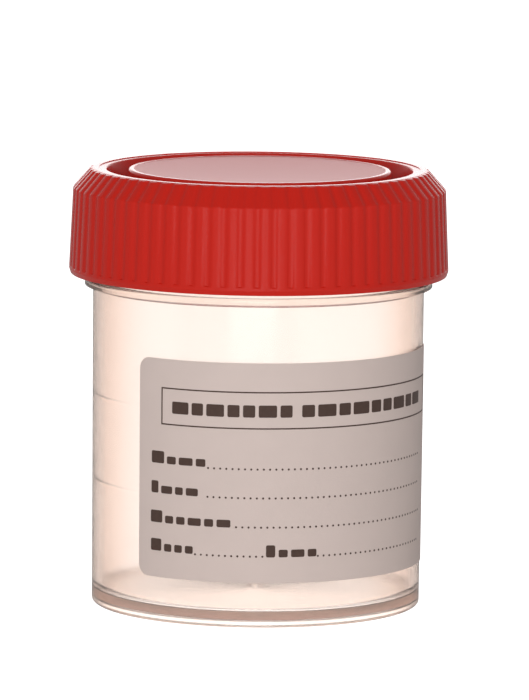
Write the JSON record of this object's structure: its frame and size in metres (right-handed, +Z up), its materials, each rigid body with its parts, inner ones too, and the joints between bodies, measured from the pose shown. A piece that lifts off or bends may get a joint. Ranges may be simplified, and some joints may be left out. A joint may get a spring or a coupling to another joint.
{
  "type": "screw-cap specimen container",
  "caption": "Small translucent screw-cap sample pot with a threaded neck, a ribbed red plug-seal cap and a wrap-round write-on label.",
  "frame": {"origin": "middle of the foot's underside, on the container's axis", "axes": "+Z up along the container's axis; the middle of the label faces -Y"},
  "size_m": [0.0504, 0.0504, 0.058],
  "materials": {
    "natural_polypropylene": "injection-moulded natural polypropylene, translucent, smooth semi-gloss",
    "red_polypropylene": "injection-moulded red polypropylene, smooth gloss skirt, fine matt field on the centre disc",
    "label_paper": "satin self-adhesive label stock with dark brown printed bars and dotted lines"
  },
  "bodies": {
    "container": {"container_body": "natural_polypropylene", "label": "label_paper"},
    "cap": {"screw_cap": "red_polypropylene"}
  },
  "joints": [
    {"name": "cap_lift", "type": "slide", "parent": "container", "child": "cap", "axis": [0, 0, 1], "range_m": [0, 0.04]}
  ]
}
